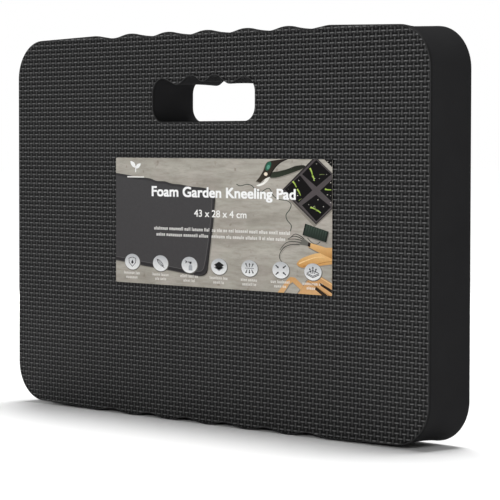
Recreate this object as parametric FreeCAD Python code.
"""Garden kneeling pad: a slab of black closed-cell foam with a woven pattern on both faces.

The pad stands on one long edge. X runs along its width, Z up its height and Y through its
thickness, with the labelled front towards -Y. The origin is at the bottom, in the middle.
All sizes are in millimetres.
"""

import FreeCAD, Part

import math
import os
from collections import namedtuple

# Overall size
pad_width = 430.0
pad_height = 280.0
pad_thickness = 40.0
corner_radius = 29.0

# The embossed sheets bonded to the core's two faces
sheet_thickness = 2.0
rim_rounding = 1.0

# Die-cutting squeezes the core, so its cut walls are dished half way through its thickness
wall_dish = 1.2
hole_dish = 0.6

# The wavy grip along both long edges: valleys for the fingers, with crests between them
wave_pitch = 41.1
wave_depth = 2.8
wave_valleys = 6
shoulder_step = 0.65    # how far the shoulders beside the waves lie below the crests
edge_crown = 2.3        # how far the ends of a long edge lie below the crests

# The hand hole, with a scallop for each finger along its upper side
hole_width = 107.0
hole_height = 32.3
hole_end_radius = 10.5
hole_shift = -3.5       # the die cuts the hole a little to the left of the middle
bar_height = 32.1       # from the crests down to the two middle scallops
handle_arch = 1.8       # how far the outer scallops and knuckles lie below the middle ones
finger_depth = 4.5
finger_spacing = 25.0   # between the two middle scallops
knuckle_radius = 9.0

# The label, stuck on the front
label_width = 224.5
label_height = 91.6
label_corner_radius = 1.0
label_shift = 14.4      # to the right of the middle
label_rise = 3.4        # above the middle
film_thickness = 0.2
adhesive_thickness = 0.05

# Derived places
crest_level = pad_height
mid_level = pad_height / 2
front_face = -pad_thickness / 2
back_face = pad_thickness / 2

FLANK_SHARE = 0.95      # of the largest pair of radii, which leaves a short straight flank

# A round that an outline passes: side is 1 where it bulges outwards and -1 where it dips in
Round = namedtuple("Round", "x z radius side")


def radius_pair(run, rise):
    """The two radii, added up, of an S of tangent arcs that gains rise over run."""
    return FLANK_SHARE * (run ** 2 + rise ** 2) / (2 * rise)


def tangent_angle(a, b):
    """The direction of the straight line that leaves round a and meets round b."""
    gap = math.hypot(b.x - a.x, b.z - a.z)
    lean = math.asin((a.side * a.radius - b.side * b.radius) / gap)
    return math.atan2(b.z - a.z, b.x - a.x) + lean


def point_on(r, angle):
    """The point of round r where the outline runs in the direction angle."""
    reach = r.side * r.radius
    return FreeCAD.Vector(r.x + reach * math.sin(angle), 0, r.z - reach * math.cos(angle))


def belt(rounds):
    """A closed wire round the rounds, anticlockwise from the front: arcs and tangent lines."""
    count = len(rounds)
    angles = [tangent_angle(rounds[i], rounds[(i + 1) % count]) for i in range(count)]
    edges = []
    for i, here in enumerate(rounds):
        turn = math.remainder(angles[i] - angles[i - 1], 2 * math.pi)
        start = point_on(here, angles[i - 1])
        middle = point_on(here, angles[i - 1] + turn / 2)
        end = point_on(here, angles[i])
        edges.append(Part.Arc(start, middle, end).toShape())
        after = rounds[(i + 1) % count]
        edges.append(Part.LineSegment(end, point_on(after, angles[i])).toShape())
    return Part.Wire(edges)


def slab(rounds, y_from, y_to):
    """A straight-walled slab of the outline through the rounds."""
    face = Part.Face(belt(rounds))
    face.translate(FreeCAD.Vector(0, y_from, 0))
    return face.extrude(FreeCAD.Vector(0, y_to - y_from, 0))


def drawn_in(rounds, amount):
    """The rounds of the outline that lies amount inside the one through the given rounds."""
    return [r._replace(radius=r.radius - r.side * amount) for r in rounds]


def dished_slab(rounds, y_from, y_to, dish):
    """A slab whose wall curves in by dish half way between its two faces."""
    wires = []
    for amount, y in ((0, y_from), (dish, (y_from + y_to) / 2), (0, y_to)):
        wire = belt(drawn_in(rounds, amount))
        wire.translate(FreeCAD.Vector(0, y, 0))
        wires.append(wire)
    return Part.makeLoft(wires, True, False)


def long_edge():
    """The rounds of the upper long edge, from the right corner to the left one."""
    radius = radius_pair(wave_pitch / 2, wave_depth) / 2
    valley_level = crest_level - wave_depth
    corner_x = pad_width / 2 - corner_radius
    corner_z = crest_level - edge_crown - corner_radius
    shoulder_x = wave_valleys / 2 * wave_pitch
    shoulder_z = crest_level - shoulder_step - radius
    rounds = [Round(corner_x, corner_z, corner_radius, 1)]
    rounds.append(Round(shoulder_x, shoulder_z, radius, 1))
    for i in range(wave_valleys):
        valley_x = shoulder_x - (i + 0.5) * wave_pitch
        rounds.append(Round(valley_x, valley_level + radius, radius, -1))
        if i < wave_valleys - 1:
            crest_x = valley_x - wave_pitch / 2
            rounds.append(Round(crest_x, crest_level - radius, radius, 1))
    rounds.append(Round(-shoulder_x, shoulder_z, radius, 1))
    rounds.append(Round(-corner_x, corner_z, corner_radius, 1))
    return rounds


def pad_outline():
    """The pad's outline: the upper long edge, and the same edge turned half round below."""
    upper = long_edge()
    lower = [Round(-r.x, pad_height - r.z, r.radius, r.side) for r in upper]
    return upper + lower


def hole_outline():
    """The hand hole's outline: round ends, a straight lower side, and scallops above."""
    scallop_level = crest_level - bar_height
    knuckle_level = scallop_level - finger_depth
    end_x = hole_width / 2 - hole_end_radius
    low_z = scallop_level - hole_height + hole_end_radius
    high_z = scallop_level - handle_arch - hole_end_radius
    scallop_x = finger_spacing / 2
    scallop_radius = radius_pair(scallop_x, finger_depth) - knuckle_radius
    scallop_z = scallop_level - scallop_radius
    knuckle_x = (end_x + scallop_x) / 2
    knuckle_z = knuckle_level - handle_arch + knuckle_radius
    rounds = [
        Round(-end_x, low_z, hole_end_radius, 1),
        Round(end_x, low_z, hole_end_radius, 1),
        Round(end_x, high_z, hole_end_radius, 1),
        Round(knuckle_x, knuckle_z, knuckle_radius, -1),
        Round(scallop_x, scallop_z, scallop_radius, 1),
        Round(0, knuckle_level + knuckle_radius, knuckle_radius, -1),
        Round(-scallop_x, scallop_z, scallop_radius, 1),
        Round(-knuckle_x, knuckle_z, knuckle_radius, -1),
        Round(-end_x, high_z, hole_end_radius, 1),
    ]
    return [r._replace(x=r.x + hole_shift) for r in rounds]


def label_outline():
    """The label's outline: a rectangle with small round corners."""
    x = label_width / 2 - label_corner_radius
    z = label_height / 2 - label_corner_radius
    rounds = []
    for sx, sz in ((-1, -1), (1, -1), (1, 1), (-1, 1)):
        place = (label_shift + sx * x, mid_level + label_rise + sz * z)
        rounds.append(Round(*place, label_corner_radius, 1))
    return rounds


def face_sheet(core_side, face):
    """An embossed sheet from the core's side out to the pad's face, its rim rounded there."""
    sheet = slab(pad_outline(), core_side, face)
    sheet = sheet.cut(slab(hole_outline(), 2 * front_face, 2 * back_face))
    rim = [e for e in sheet.Edges if all(abs(v.Y - face) < 1e-6 for v in e.Vertexes)]
    return sheet.makeFillet(rim_rounding, rim)


def foam_core():
    front = front_face + sheet_thickness
    back = back_face - sheet_thickness
    block = dished_slab(pad_outline(), front, back, wall_dish)
    return block.cut(dished_slab(hole_outline(), front, back, -hole_dish))


def front_face_sheet():
    return face_sheet(front_face + sheet_thickness, front_face)


def back_face_sheet():
    return face_sheet(back_face - sheet_thickness, back_face)


def label_adhesive():
    return slab(label_outline(), front_face, front_face - adhesive_thickness)


def label_film():
    outside = front_face - adhesive_thickness
    return slab(label_outline(), outside, outside - film_thickness)


pieces = {
    "foam_core": foam_core,
    "front_face_sheet": front_face_sheet,
    "back_face_sheet": back_face_sheet,
    "label_adhesive": label_adhesive,
    "label_film": label_film,
}

os.makedirs("parts", exist_ok=True)
for name, make in pieces.items():
    shape = make()
    solid = shape.Solids[0]
    if len(shape.Solids) != 1 or not solid.isValid():
        raise ValueError(f"{name} is not one valid solid")
    solid.exportStep(f"parts/{name}.step")
    print(f"{name}: {solid.Volume / 1000:.2f} cm3")
